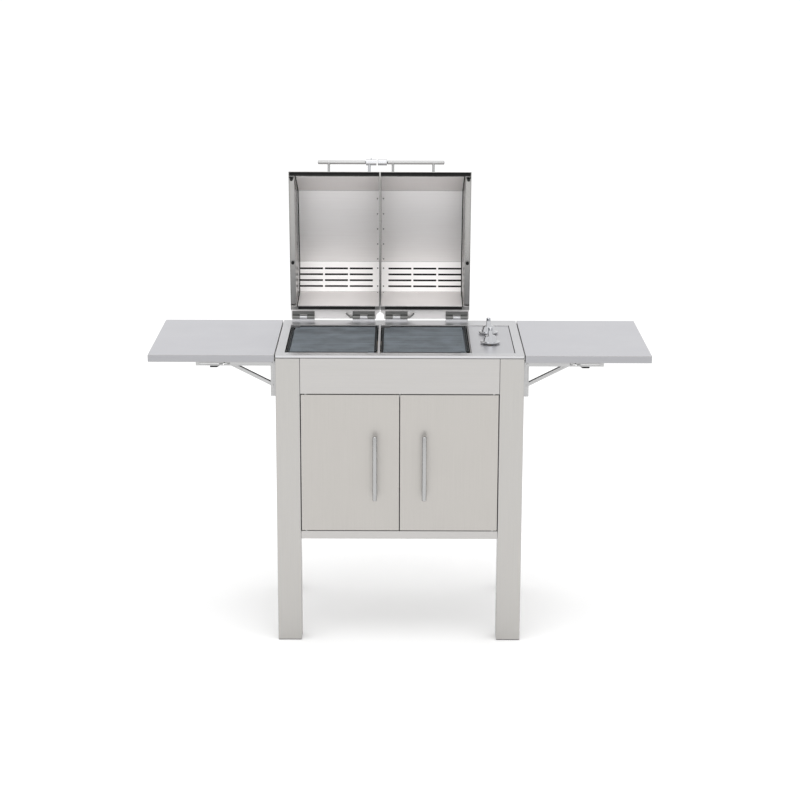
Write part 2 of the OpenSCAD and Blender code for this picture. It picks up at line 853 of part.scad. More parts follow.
// Body side of one hinge: foot, low web, middle knuckle, and a fixed pin in the outer hinges
module body_leaf(x, fixed) {
    third = leaf_w / 3;
    web = 3;
    difference() {
        union() {
            box([x, hinge_y - 7, 0], [x + leaf_w, hinge_y + 13, sheet]);
            box([x, hinge_y - web / 2, 0], [x + leaf_w, hinge_y + web / 2, hinge_h - knuckle_r - 0.6]);
            box([x + third, hinge_y - web / 2, 0], [x + 2 * third, hinge_y + web / 2, hinge_h]);
            rod_x(x + third, x + 2 * third, hinge_y, hinge_h, knuckle_r);
        }
        if (!fixed)
            rod_x(x - past, x + leaf_w + past, hinge_y, hinge_h, pin_r + run);
    }
    if (fixed)
        rod_x(x, x + leaf_w, hinge_y, hinge_h, pin_r);
}

module body_leaf_pair() {
    body_leaf(outer_leaf_x, true);
    body_leaf(inner_leaf_x, false);
}

module hinge_leaves() color(satin) stand() {
    translate([seam_x - 0.5 - lid_w, 0, top_z]) body_leaf_pair();
    translate([seam_x + 0.5 + lid_w, 0, top_z]) right_hand() body_leaf_pair();
}

module lid_skin_left() color(steel) left_lid() lid_skin();

module lid_skin_right() color(steel) right_lid() lid_skin();

module lid_liner_left() color(steel) left_lid() lid_liner();

module lid_liner_right() color(steel) right_lid() lid_liner();

module lid_ends_left() color(steel) left_lid() lid_ends();

module lid_ends_right() color(steel) right_lid() lid_ends();

module lid_gasket_left() color(rubber) left_lid() lid_gasket();

module lid_gasket_right() color(rubber) right_lid() lid_gasket();

module lid_rivets_left() color(satin) left_lid() lid_rivets();

module lid_rivets_right() color(satin) right_lid() lid_rivets();

module lid_leaves_left() color(satin) left_lid() lid_leaves();

module lid_leaves_right() color(satin) right_lid() lid_leaves();

module hinge_pin_left() color(satin) left_lid() hinge_pin();

module hinge_pin_right() color(satin) right_lid() hinge_pin();

// ---------------------------------------------------------------- shelves

// Folded pan with lips underneath and a strip over each bracket
module shelf() {
    x0 = -half_w - 3 - shelf_w;
    x1 = -half_w - 3;
    lip = 15;
    strip = 22;
    difference() {
        box([x0, 0, shelf_z], [x1, body_d, top_z]);
        box([x0 + sheet, sheet, shelf_z + sheet], [x1 - sheet, body_d - sheet, top_z - sheet]);
        difference() {
            box([x0 + lip, lip, shelf_z - past], [x1 - lip, body_d - lip, shelf_z + 2 * sheet]);
            for (y = [bracket_front_y, bracket_rear_y])
                box([x0, y - strip, shelf_z - past], [x1, y + strip, shelf_z + sheet]);
        }
    }
}

module shelf_left() color(steel) stand() shelf();

module shelf_right() color(steel) stand() right_hand() shelf();

// Where a bracket's parts lie: children are drawn round the fold axis, with +X outwards
module at_fold(y) translate([-fold_x, y, fold_z]) mirror([1, 0, 0]) children();

// Channel under the shelf with a slot in each side for the brace's end
module shelf_arm() {
    half = 14.5;
    wall = 2;
    drop = 8;
    rise = 10;
    reach = brace_reach - 4;
    difference() {
        union() {
            box([0, -half, -drop], [arm_len, half, rise]);
            rod_y(0, -half, half, 0, drop);
        }
        box([-drop - past, -half + wall, -drop - past], [arm_len + past, half - wall, rise - wall]);
        box([-drop - past, -half - past, drop], [rise, half + past, rise + past]);
        rod_y(0, -half - past, half + past, 0, axle_r + run);
        box([reach, -half - past, -3], [brace_len + brace_drop + 4, half + past, 3]);
        rod_y(lever_u, -half - past, half + past, -4, 2 + run);
    }
}

module shelf_arm_pair() {
    at_fold(bracket_front_y) shelf_arm();
    at_fold(bracket_rear_y) shelf_arm();
}

module shelf_arms_left() color(satin) stand() shelf_arm_pair();

module shelf_arms_right() color(satin) stand() right_hand() shelf_arm_pair();

// Wall channel with a round bottom end, and the two axles that it carries
module bracket_plate() {
    half = 11;
    wall = 2;
    back = -10;
    front = 6;
    top = 7;
    bottom = -114;
    round = 11;
    difference() {
        union() {
            box([back, -half, bottom + round], [front, half, top]);
            rod_x(back, back + wall, 0, bottom + round, round);
        }
        box([back + wall, -half + wall, bottom - past], [front + past, half - wall, top + past]);
    }
    rod_y(0, -half - 4.5, half + 4.5, 0, axle_r);
    rod_y(0, -half - 1, half + 1, -brace_drop, axle_r);
}

module bracket_plate_pair() {
    at_fold(bracket_front_y) bracket_plate();
    at_fold(bracket_rear_y) bracket_plate();
}

module bracket_plates() color(satin) stand() {
    bracket_plate_pair();
    right_hand() bracket_plate_pair();
}

// Folding brace: a channel bored for the lower axle, with a cross pin at its free end
module brace() translate([0, 0, -brace_drop]) rotate([0, -asin(brace_drop / brace_len), 0]) {
    half = 8;
    depth = 5;
    wall = 2;
    difference() {
        union() {
            box([0, -half, -depth], [brace_len, half, depth]);
            rod_y(0, -half, half, 0, depth);
            rod_y(brace_len, -half, half, 0, depth);
        }
        box([-depth - past, -half + wall, -depth + wall],
            [brace_len + depth + past, half - wall, depth + past]);
        rod_y(0, -half - past, half + past, 0, axle_r + run);
    }
    rod_y(brace_len, -half - 3.5, half + 3.5, 0, axle_r);
}

module brace_pair() {
    at_fold(bracket_front_y) brace();
    at_fold(bracket_rear_y) brace();
}

module braces_left() color(satin) stand() brace_pair();

module braces_right() color(satin) stand() right_hand() brace_pair();

// Sprung lever beside an arm: a pivot pin, a sloping blade and a level finger grip
module release_lever() {
    blade_y = 17.4;
    thick = 3;
    grip = 10;
    u = lever_u;
    v = -4;
    fall = 14;
    run_out = 24;
    rod_y(u, 12.5, blade_y, v, 2);
    rod_y(u, blade_y, blade_y + thick, v, 5);
    translate([u, blade_y, v])
        rotate([0, atan2(fall, run_out), 0])
            translate([0, 0, -3]) cube([norm([fall, run_out]), thick, 6]);
    box([u + run_out - 2, blade_y, v - fall - 3], [u + run_out + 20, blade_y + grip, v - fall + 2]);
}

module release_lever_pair() {
    at_fold(bracket_front_y) release_lever();
    at_fold(bracket_rear_y) mirror([0, 1, 0]) release_lever();
}

module release_levers_left() color(rubber) stand() release_lever_pair();

module release_levers_right() color(rubber) stand() right_hand() release_lever_pair();

// ---------------------------------------------------------------- assembly

front_leg_left();
front_leg_right();
rear_leg_left();
rear_leg_right();
foot_caps();
fascia();
bottom_rail();
side_panel_left();
side_panel_right();
back_panel();
cabinet_floor();
top_frame();
control_panel();
plate_divider();
firebox();
burner_front();
burner_rear();
gas_manifold();
gas_valves();
hinge_leaves();
bracket_plates();
door_fittings();
lid_skin_left();
lid_liner_left();
lid_ends_left();
lid_gasket_left();
lid_rivets_left();
lid_leaves_left();
lid_handle_left();
handle_collar_left();
lid_skin_right();
lid_liner_right();
lid_ends_right();
lid_gasket_right();
lid_rivets_right();
lid_leaves_right();
lid_handle_right();
handle_collar_right();
link_bolt();
hinge_pin_left();
hinge_pin_right();
hotplate_left();
hotplate_right();
drip_tray();
door_left();
door_right();
door_handle_left();
door_handle_right();
shelf_left();
shelf_right();
shelf_arms_left();
shelf_arms_right();
braces_left();
braces_right();
release_levers_left();
release_levers_right();
stem_front();
stem_rear();
knob_front();
knob_rear();
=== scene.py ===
"""Looks of a stainless steel gas barbecue: finishes, small fittings, light and camera."""

import json
import logging
import math
from collections.abc import Callable
from dataclasses import dataclass, field
from enum import Enum

import bmesh
import bpy
from mathutils import Matrix, Vector

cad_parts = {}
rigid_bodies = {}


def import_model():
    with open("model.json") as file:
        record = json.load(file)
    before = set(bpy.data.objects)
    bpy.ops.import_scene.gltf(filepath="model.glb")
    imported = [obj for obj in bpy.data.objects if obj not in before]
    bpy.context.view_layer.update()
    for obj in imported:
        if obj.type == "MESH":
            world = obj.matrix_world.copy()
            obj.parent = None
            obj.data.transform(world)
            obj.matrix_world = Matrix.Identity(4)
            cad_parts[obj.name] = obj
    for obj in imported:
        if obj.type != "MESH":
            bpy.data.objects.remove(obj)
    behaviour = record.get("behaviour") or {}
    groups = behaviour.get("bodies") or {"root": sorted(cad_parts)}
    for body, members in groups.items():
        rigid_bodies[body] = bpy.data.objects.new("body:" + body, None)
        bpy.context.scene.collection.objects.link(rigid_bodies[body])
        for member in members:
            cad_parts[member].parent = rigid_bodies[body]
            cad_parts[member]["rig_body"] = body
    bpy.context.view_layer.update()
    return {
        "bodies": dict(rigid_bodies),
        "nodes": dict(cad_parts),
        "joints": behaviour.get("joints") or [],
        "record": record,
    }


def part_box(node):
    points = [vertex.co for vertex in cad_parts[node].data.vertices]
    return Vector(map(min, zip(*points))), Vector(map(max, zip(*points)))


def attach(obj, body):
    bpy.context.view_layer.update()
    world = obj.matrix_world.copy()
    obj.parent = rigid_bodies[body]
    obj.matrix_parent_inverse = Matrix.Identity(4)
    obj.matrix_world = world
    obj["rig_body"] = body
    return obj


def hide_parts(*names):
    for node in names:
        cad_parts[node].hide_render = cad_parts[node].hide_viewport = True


LOG = logging.getLogger("barbecue")
MM = 0.001
WELD_M = 2e-6  # corners closer than this are one corner
ON_PLANE_M = 1e-5  # a corner this near to a plane lies on it
SIDEWAYS = 0.5  # a face whose normal has less than this along an axis doesn't face along it
MIDDLE = {"From Min": 0.25, "From Max": 0.75}  # where most values of a noise lie
MIX_SHARE, MIX_FIRST, MIX_SECOND, MIX_RESULT = 0, 6, 7, 2  # sockets of a colour mix
FaceTest = Callable[[Vector, Vector], bool]
Inputs = dict[str | int, object]
Sizes = tuple[float, float, float]
Span = tuple[float, float]


class Side(Enum):
    """The two hands of a paired part, with the sign of X on that side."""

    LEFT = -1
    RIGHT = 1

    @property
    def word(self) -> str:
        """The side as it ends a part's name."""
        return self.name.lower()

    def outer(self, low: Vector, high: Vector) -> float:
        """Give the X of a box's face on this side."""
        return low.x if self is Side.LEFT else high.x


class Grain(Enum):
    """The way that a sheet was brushed, as an axis number of the shared frame."""

    ACROSS = 0
    BACKWARDS = 1
    UPRIGHT = 2


# ---------------------------------------------------------------- colour and nodes


def linear(colour: str) -> tuple[float, float, float, float]:
    """Turn an sRGB hex colour to linear light.

    Args:
        colour: Six hex digits after a hash sign.

    Returns:
        Linear red, green and blue, and an alpha of one.
    """
    parts = [int(colour[i : i + 2], 16) / 255 for i in (1, 3, 5)]
    light = [c / 12.92 if c <= 0.04045 else ((c + 0.055) / 1.055) ** 2.4 for c in parts]
    return (light[0], light[1], light[2], 1.0)


def add_node(
    tree: bpy.types.NodeTree, kind: str, links: Inputs | None = None, **settings: object
) -> bpy.types.Node:
    """Add one node to a tree.

    Args:
        tree: The material's or world's node tree.
        kind: Blender's name for the node.
        links: For each input, by name or number, a node or an output to link, or a value to set.
        settings: Properties of the node, by name.

    Returns:
        The new node.
    """
    node = tree.nodes.new(kind)
    for name, value in settings.items():
        setattr(node, name, value)
    for name, value in (links or {}).items():
        if isinstance(value, bpy.types.Node):
            value = value.outputs[0]
        if isinstance(value, bpy.types.NodeSocket):
            tree.links.new(value, node.inputs[name])
        else:
            node.inputs[name].default_value = value
    return node


def pattern(
    tree: bpy.types.NodeTree, place: bpy.types.NodeSocket, size_mm: Sizes, detail: float
) -> bpy.types.Node:
    """Add noise whose patches have a real size along each axis.

    Args:
        tree: The tree to add to.
        place: Coordinates in metres.
        size_mm: Size of a patch along X, Y and Z, in millimetres.
        detail: Number of finer layers.

    Returns:
        The noise, whose first output runs from zero to one.
    """
    scale = tuple(1 / (size * MM) for size in size_mm)
    stretched = add_node(tree, "ShaderNodeMapping", {"Vector": place, "Scale": scale})
    links = {"Vector": stretched, "Scale": 1.0, "Detail": detail, "Roughness": 0.55}
    return add_node(tree, "ShaderNodeTexNoise", links)


# ---------------------------------------------------------------- finishes


@dataclass(frozen=True)
class Finish:
    """What a surface is made of and how it was worked."""

    name: str

    def material(self) -> bpy.types.Material:
        """Build the finish.

        Returns:
            The finish as a material.
        """
        material = bpy.data.materials.new(self.name)
        material.use_nodes = True
        tree = material.node_tree
        tree.nodes.clear()
        place = add_node(tree, "ShaderNodeTexCoord").outputs["Object"]
        shader = add_node(tree, "ShaderNodeBsdfPrincipled", self.surface(tree, place))
        add_node(tree, "ShaderNodeOutputMaterial", {"Surface": shader})
        return material

    def surface(self, tree: bpy.types.NodeTree, place: bpy.types.NodeSocket) -> Inputs:
        """Build what varies over the surface.

        Args:
            tree: The material's tree.
            place: Coordinates in metres.

        Returns:
            The main shader's inputs, by name.
        """
        raise NotImplementedError


@dataclass(frozen=True)
class BrushedStainless(Finish):
    """Type 304 stainless sheet, belt-brushed with 180 grit and then handled.

    The belt leaves lines about 0.1 mm apart that run one way. They are too fine to show, so the
    streaks here are 2 mm apart and some 200 mm long, and faint. Hands and cleaning leave soft
    patches where the reflection is a little sharper or duller.
    """

    dark: str
    light: str
    roughness: Span
    grain: Grain
    streak_mm: float = 2.0
    streak_long_mm: float = 220.0
    patch_mm: float = 140.0
    hairline_width: float = 0.45
    hairline_length: float = 0.35
    hairline_share: float = 0.4
    patch_share: float = 0.5

    def run(self, wide_mm: float, long_mm: float) -> Sizes:
        """Give a streak's size along each axis."""
        return tuple(long_mm if axis == self.grain.value else wide_mm for axis in range(3))

    def surface(self, tree: bpy.types.NodeTree, place: bpy.types.NodeSocket) -> Inputs:
        """Lay hairlines over streaks, clouded by patches.

        Args:
            tree: The material's tree.
            place: Coordinates in metres.

        Returns:
            The main shader's inputs, by name.
        """
        wide, long = self.streak_mm, self.streak_long_mm
        fine = self.run(wide * self.hairline_width, long * self.hairline_length)
        streaks = pattern(tree, place, self.run(wide, long), 3.0)
        hairlines = pattern(tree, place, fine, 1.0)
        patches = pattern(tree, place, (self.patch_mm,) * 3, 3.0)
        links = {0: hairlines, 1: self.hairline_share, 2: streaks}
        lines = add_node(tree, "ShaderNodeMath", links, operation="MULTIPLY_ADD")
        links = {0: lines, 1: self.hairline_share / 2}
        centred = add_node(tree, "ShaderNodeMath", links, operation="SUBTRACT")
        shade = add_node(tree, "ShaderNodeMapRange", {"Value": centred, **MIDDLE})
        links = {0: patches, 1: self.patch_share, 2: shade}
        clouded = add_node(tree, "ShaderNodeMath", links, operation="MULTIPLY_ADD")
        links = {0: clouded, 1: 1 / (1 + self.patch_share)}
        share = add_node(tree, "ShaderNodeMath", links, operation="MULTIPLY")
        links = {MIX_SHARE: share, MIX_FIRST: linear(self.dark), MIX_SECOND: linear(self.light)}
        colour = add_node(tree, "ShaderNodeMix", links, data_type="RGBA")
        low, high = self.roughness
        links = {"Value": patches, **MIDDLE, "To Min": low, "To Max": high}
        dullness = add_node(tree, "ShaderNodeMapRange", links)
        links = {"Strength": 0.04, "Distance": 0.2 * MM, "Height": centred}
        grooves = add_node(tree, "ShaderNodeBump", links)
        return {
            "Base Color": colour.outputs[MIX_RESULT],
            "Metallic": 1.0,
            "Roughness": dullness,
            "Normal": grooves,
        }


@dataclass(frozen=True)
class HandledMetal(Finish):
    """Plain metal of one colour whose shine varies with marks of one size."""

    colour: str
    roughness: Span
    mark_mm: float
    detail: float

    def surface(self, tree: bpy.types.NodeTree, place: bpy.types.NodeSocket) -> Inputs:
        """Dull the metal by its marks.

        Args:
            tree: The material's tree.
            place: Coordinates in metres.

        Returns:
            The main shader's inputs, by name.
        """
        marks = pattern(tree, place, (self.mark_mm,) * 3, self.detail)
        low, high = self.roughness
        links = {"Value": marks, **MIDDLE, "To Min": low, "To Max": high}
        dullness = add_node(tree, "ShaderNodeMapRange", links)
        return {"Base Color": linear(self.colour), "Metallic": 1.0, "Roughness": dullness}


@dataclass(frozen=True)
class PolishedEdge(HandledMetal):
    """Metal edge painted darker than its sheet as painted shade, with nicks about 6 mm apart.

    It draws a thin dark line of painted shade round a sheet, along its folds and cut edges.
    """

    mark_mm: float = 6.0
    detail: float = 2.0


@dataclass(frozen=True)
class ChromePlate(HandledMetal):
    """Bright chromium plate over turned steel, with faint finger marks.

    Plating gives a near mirror with a slight blue cast. Finger marks are some 12 mm across and
    dull it a little.
    """

    mark_mm: float = 12.0
    detail: float = 4.0


@dataclass(frozen=True)
class EnamelledIron(Finish):
    """Grey cast iron under blue-grey vitreous enamel.

    The sand mould leaves dimples about 1.5 mm wide under the glass, drawn at 3 mm so that they
    show. Fat and heat leave darker patches some 60 mm wide, and the scraper leaves paler strokes
    some 15 mm wide along the ribs.
    """

    dark: str
    light: str
    roughness: Span = (0.34, 0.5)
    gloss: float = 0.5
    dimple_mm: float = 3.0
    patch_mm: float = 60.0
    stroke_mm: Sizes = (420.0, 15.0, 15.0)
    contrast: Span = (-0.4, 1.4)

    def surface(self, tree: bpy.types.NodeTree, place: bpy.types.NodeSocket) -> Inputs:
        """Shade the enamel by its patches and strokes.

        Args:
            tree: The material's tree.
            place: Coordinates in metres.

        Returns:
            The main shader's inputs, by name.
        """
        dimples = pattern(tree, place, (self.dimple_mm,) * 3, 3.0)
        patches = pattern(tree, place, (self.patch_mm,) * 3, 4.0)
        strokes = pattern(tree, place, self.stroke_mm, 2.0)
        both = add_node(tree, "ShaderNodeMath", {0: patches, 1: strokes}, operation="ADD")
        middle = add_node(tree, "ShaderNodeMath", {0: both, 1: 0.5}, operation="MULTIPLY")
        low, high = self.contrast
        links = {"Value": middle, **MIDDLE, "To Min": low, "To Max": high}
        share = add_node(tree, "ShaderNodeMapRange", links)
        links = {MIX_SHARE: share, MIX_FIRST: linear(self.dark), MIX_SECOND: linear(self.light)}
        colour = add_node(tree, "ShaderNodeMix", links, data_type="RGBA")
        low, high = self.roughness
        links = {"Value": strokes, **MIDDLE, "To Min": low, "To Max": high}
        dullness = add_node(tree, "ShaderNodeMapRange", links)
        links = {"Strength": 0.35, "Distance": 0.4 * MM, "Height": dimples}
        cast_skin = add_node(tree, "ShaderNodeBump", links)
        return {
            "Base Color": colour.outputs[MIX_RESULT],
            "Roughness": dullness,
            "Specular IOR Level": self.gloss,
            "IOR": 1.52,
            "Normal": cast_skin,
        }


@dataclass(frozen=True)
class TintedFinish(Finish):
    """A surface with two colours, which change together with its shine in soft patches."""

    clean: str
    worn: str
    roughness: Span
    patch_mm: float
    detail: float

    def surface(self, tree: bpy.types.NodeTree, place: bpy.types.NodeSocket) -> Inputs:
        """Blend the two colours by patches.

        Args:
            tree: The material's tree.
            place: Coordinates in metres.

        Returns:
            The main shader's inputs, by name.
        """
        patches = pattern(tree, place, (self.patch_mm,) * 3, self.detail)
        share = add_node(tree, "ShaderNodeMapRange", {"Value": patches, **MIDDLE})
        links = {MIX_SHARE: share, MIX_FIRST: linear(self.clean), MIX_SECOND: linear(self.worn)}
        colour = add_node(tree, "ShaderNodeMix", links, data_type="RGBA")
        low, high = self.roughness
        links = {"Value": patches, **MIDDLE, "To Min": low, "To Max": high}
        dullness = add_node(tree, "ShaderNodeMapRange", links)
        return {"Base Color": colour.outputs[MIX_RESULT], "Roughness": dullness}


@dataclass(frozen=True)
class MouldedPolymer(TintedFinish):
    """Moulded rubber or nylon with the spark-eroded skin of its mould.

    The skin's grain is about 0.3 mm, drawn at 1.2 mm. It breaks the highlight into a soft sheen.
    """

    patch_mm: float = 25.0
    detail: float = 3.0
    ior: float = 1.5
    grain_mm: float = 1.2

    def surface(self, tree: bpy.types.NodeTree, place: bpy.types.NodeSocket) -> Inputs:
        """Add the moulded skin to the tinted surface.

        Args:
            tree: The material's tree.
            place: Coordinates in metres.

        Returns:
            The main shader's inputs, by name.
        """
        inputs = super().surface(tree, place)
        grain = pattern(tree, place, (self.grain_mm,) * 3, 2.0)
        links = {"Strength": 0.25, "Distance": 0.2 * MM, "Height": grain}
        inputs["Normal"] = add_node(tree, "ShaderNodeBump", links)
        inputs["IOR"] = self.ior
        return inputs


@dataclass(frozen=True)
class FiredMetal(TintedFinish):
    """Bare stainless or brass that works near the flame, with heat tint and dull patches.

    Tint and soot come in patches about 40 mm across, and the metal under them is as drawn or
    turned, with no brushing.
    """

    patch_mm: float = 40.0
    detail: float = 4.0

    def surface(self, tree: bpy.types.NodeTree, place: bpy.types.NodeSocket) -> Inputs:
        """Make the tinted surface metal.

        Args:
            tree: The material's tree.
            place: Coordinates in metres.

        Returns:
            The main shader's inputs, by name.
        """
        inputs = super().surface(tree, place)
        inputs["Metallic"] = 1.0
        return inputs


@dataclass(frozen=True)
class PaperSweep(Finish):
    """Matt white studio paper, lit evenly enough to lose its horizon."""

    colour: str = "#F6F6F6"
    glow: float = 0.12

    def surface(self, tree: bpy.types.NodeTree, place: bpy.types.NodeSocket) -> Inputs:
        """Give the paper one plain white.

        Args:
            tree: The material's tree.
            place: Coordinates in metres.

        Returns:
            The main shader's inputs, by name.
        """
        return {
            "Base Color": linear(self.colour),
            "Roughness": 0.95,
            "Specular IOR Level": 0.1,
            "Emission Color": linear("#FFFFFF"),
            "Emission Strength": self.glow,
        }


class Finishes:
    """Every finish of the barbecue, built once and shared."""

    def __init__(self) -> None:
        """Build the materials."""
        # Upright and level sheets of the cabinet: warm grey, with faint lines along each sheet.
        self.leg_steel = BrushedStainless(
            "brushed_stainless_leg", "#B2B0AD", "#B8B6B3", (0.3, 0.4), Grain.UPRIGHT
        ).material()
        self.rail_steel = BrushedStainless(
            "brushed_stainless_rail", "#B6B4B2", "#BBB9B7", (0.3, 0.4), Grain.ACROSS
        ).material()
        self.door_steel = BrushedStainless(
            "brushed_stainless_door", "#B3B0AC", "#B9B6B2", (0.38, 0.48), Grain.UPRIGHT
        ).material()

        # Working surfaces: colder, and painted paler than the upright sheets as painted light
        # that level sheets catch from above.
        self.top_steel = BrushedStainless(
            "brushed_stainless_top", "#C5C5C7", "#CBCBCD", (0.3, 0.4), Grain.ACROSS
        ).material()
        self.panel_steel = BrushedStainless(
            "brushed_stainless_control_panel", "#B9B9BC", "#BFBFC2", (0.3, 0.38), Grain.BACKWARDS
        ).material()
        self.shelf_steel = BrushedStainless(
            "brushed_stainless_shelf", "#C3C3C7", "#C9C9CD", (0.32, 0.42), Grain.ACROSS
        ).material()
        # The shelves' upright aprons: the same steel painted darker as painted shade.
        self.apron_steel = BrushedStainless(
            "brushed_stainless_apron", "#A0A0A3", "#AAAAAD", (0.34, 0.44), Grain.ACROSS
        ).material()

        # Lids: satin outside, darker cheeks, and an inside painted near white as painted light,
        # with wider streaks.
        self.lid_steel = BrushedStainless(
            "brushed_stainless_lid", "#BAB8B6", "#C1BFBD", (0.3, 0.38), Grain.ACROSS
        ).material()
        self.cheek_steel = BrushedStainless(
            "brushed_stainless_cheek", "#A09F9D", "#A7A6A4", (0.24, 0.34), Grain.UPRIGHT
        ).material()
        # The liner's near-white colour is painted light: it stands in for the light that the open
        # lid's inside catches.
        self.liner_steel = BrushedStainless(
            "bright_annealed_stainless_liner", "#F8F5F4", "#FDFBFA", (0.5, 0.58), Grain.ACROSS,
            streak_mm=4.0, patch_mm=220.0,
        ).material()

        # Bars, brackets and hinges: small parts, so their patches are small.
        self.bar_steel = BrushedStainless(
            "satin_stainless_bar", "#A4A4A4", "#B4B4B4", (0.2, 0.28), Grain.ACROSS, patch_mm=40.0
        ).material()
        self.upright_bar_steel = BrushedStainless(
            "satin_stainless_upright_bar", "#A4A4A4", "#B4B4B4", (0.2, 0.28), Grain.UPRIGHT,
            patch_mm=40.0,
        ).material()
        self.bracket_steel = BrushedStainless(
            "pressed_stainless_bracket", "#A9A9A9", "#BEBEBE", (0.28, 0.4), Grain.ACROSS,
            patch_mm=30.0,
        ).material()
        self.hinge_steel = BrushedStainless(
            "coarse_brushed_stainless_hinge", "#7E7E7D", "#8F8F8D", (0.46, 0.58), Grain.ACROSS,
            streak_mm=1.6, patch_mm=25.0,
        ).material()

        # Edges painted darker than their surfaces: painted shade along the sheets' folds and cut
        # edges, and a painted dark reflection and shade that outlines the plating.
        self.edge = PolishedEdge("deburred_stainless_edge", "#A8A7A6", (0.238, 0.442)).material()
        # The chrome edge is painted dark: a painted reflection of dark surroundings and painted
        # shade round knobs and collars.
        self.dark_edge = PolishedEdge("worn_chromium_edge", "#6E6E70", (0.21, 0.39)).material()
        self.chrome = ChromePlate(
            "chromium_plate_turned_steel", "#C4C5C8", (0.05, 0.14)
        ).material()

        # Plates: a scoured blue-grey top inside a border that stays black and dull.
        self.iron = EnamelledIron("enamelled_cast_iron_plate", "#4A5157", "#6C757C").material()
        self.dark_iron = EnamelledIron(
            "enamelled_cast_iron_rim", "#0C0D0E", "#17191A", roughness=(0.6, 0.8), gloss=0.15
        ).material()

        # Seals and grips: near black, with the dull skin of their moulds.
        self.rubber = MouldedPolymer(
            "moulded_silicone_rubber_seal", "#070707", "#0D0D0D", (0.6, 0.75), ior=1.43
        ).material()
        self.nylon = MouldedPolymer(
            "moulded_nylon_fitting", "#121212", "#1B1B1B", (0.38, 0.55), ior=1.53
        ).material()

        # Parts near the flame: soot in the firebox, straw tint on burners, brass gas fittings.
        # The firebox's sooty finish also paints the shade on the faces inside each lid's hollow.
        self.tub_steel = FiredMetal(
            "sooty_stainless_firebox", "#3E3B39", "#2B2825", (0.5, 0.7), 70.0
        ).material()
        self.tray_steel = FiredMetal(
            "drawn_stainless_drip_tray", "#A19F9C", "#7C756B", (0.3, 0.5), 90.0
        ).material()
        self.burner_steel = FiredMetal(
            "heat_tinted_stainless_burner", "#9A9792", "#8A6E4E", (0.3, 0.5)
        ).material()
        self.brass = FiredMetal(
            "turned_brass_gas_fitting", "#C9AA66", "#B59653", (0.22, 0.36)
        ).material()


# ---------------------------------------------------------------- shaping


@dataclass
class Workshop:
    """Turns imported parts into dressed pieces."""

    frame: dict
    finishes: Finishes
    fold_mm: float = 0.7
    dissolve_deg: float = 0.4
    fold_deg: float = 23.5
    made: list[str] = field(default_factory=list)

    def body_of(self, node: str) -> str:
        """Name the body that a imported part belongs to."""
        return self.frame["nodes"][node]["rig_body"]

    def merged(self, node: str) -> bmesh.types.BMesh:
        """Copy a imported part's mesh with its triangles merged into whole faces.

        Args:
            node: The part.

        Returns:
            The copy, which the caller frees.
        """
        shape = bmesh.new()
        shape.from_mesh(self.frame["nodes"][node].data)
        bmesh.ops.remove_doubles(shape, verts=shape.verts, dist=WELD_M)
        bmesh.ops.dissolve_limit(
            shape,
            angle_limit=math.radians(self.dissolve_deg),
            verts=shape.verts,
            edges=shape.edges,
        )
        return shape

    def dress(self, node: str, material: bpy.types.Material) -> None:
        """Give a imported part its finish, as it stands.

        Args:
            node: The part.
            material: Its finish.
        """
        part = self.frame["nodes"][node]
        part.data.materials.clear()
        part.data.materials.append(material)
        LOG.info("%s: dressed as packed", node)

    def soften(
        self,
        node: str,
        material: bpy.types.Material,
        edge: bpy.types.Material | None = None,
        radius_mm: float | None = None,
        segments: int = 2,
        others: tuple[tuple[bpy.types.Material, FaceTest], ...] = (),
    ) -> bpy.types.Object:
        """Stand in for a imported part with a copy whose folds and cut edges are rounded.

        Args:
            node: The part.
            material: Its finish.
            edge: Finish of the rounded edges, if it differs.
            radius_mm: Radius of the rounding.
            segments: Faces across each rounding.
            others: Further finishes, each with the test that picks its faces.

        Returns:
            The new piece.
        """
        source = self.merged(node)
        bmesh.ops.connect_verts_concave(source, faces=source.faces)
        source.verts.index_update()
        corners = [tuple(v.co) for v in source.verts]
        faces = [[v.index for v in f.verts] for f in source.faces]
        source.free()
        mesh = bpy.data.meshes.new(f"{node}_shape")
        mesh.from_pydata(corners, [], faces)
        mesh.materials.append(material)
        mesh.materials.append(edge or material)
        for number, (finish, picks) in enumerate(others, start=2):
            mesh.materials.append(finish)
            for face in mesh.polygons:
                if picks(face.center, face.normal):
                    face.material_index = number
        mesh.shade_smooth()
        mesh.set_sharp_from_angle(angle=math.radians(self.fold_deg))
        piece = self.place(mesh, f"{node}_finished", node)
        bevel = piece.modifiers.new("rounded_folds", "BEVEL")
        bevel.limit_method = "ANGLE"
        bevel.angle_limit = math.radians(self.fold_deg)
        bevel.width = (radius_mm or self.fold_mm) * MM
        bevel.segments = segments
        bevel.miter_outer = "MITER_ARC"
        bevel.harden_normals = True
        # The rounded edges take the edge finish, which on most parts paints a thin darker line of
        # shade.
        bevel.material = 1
        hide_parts(node)
        return piece

    def place(self, mesh: bpy.types.Mesh, name: str, near: str) -> bpy.types.Object:
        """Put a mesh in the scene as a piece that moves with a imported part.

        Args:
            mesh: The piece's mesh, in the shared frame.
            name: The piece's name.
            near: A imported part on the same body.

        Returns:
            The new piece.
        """
        piece = bpy.data.objects.new(name, mesh)
        bpy.context.scene.collection.objects.link(piece)
        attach(piece, self.body_of(near))
        self.made.append(name)
        LOG.info("%s: %d faces", name, len(mesh.polygons))
        return piece


def close_rings(shape: bmesh.types.BMesh, rings: list[list[bmesh.types.BMVert]]) -> None:
    """Join rings of corners with faces and cap both ends.

    Args:
        shape: The mesh that holds the corners.
        rings: Corners of each ring, from the foot up, all of one count.
    """
    around = len(rings[0])
    for low, high in zip(rings, rings[1:]):
        for i in range(around):
            j = (i + 1) % around
            shape.faces.new((low[i], low[j], high[j], high[i]))
    shape.faces.new(rings[-1])
    shape.faces.new(list(reversed(rings[0])))


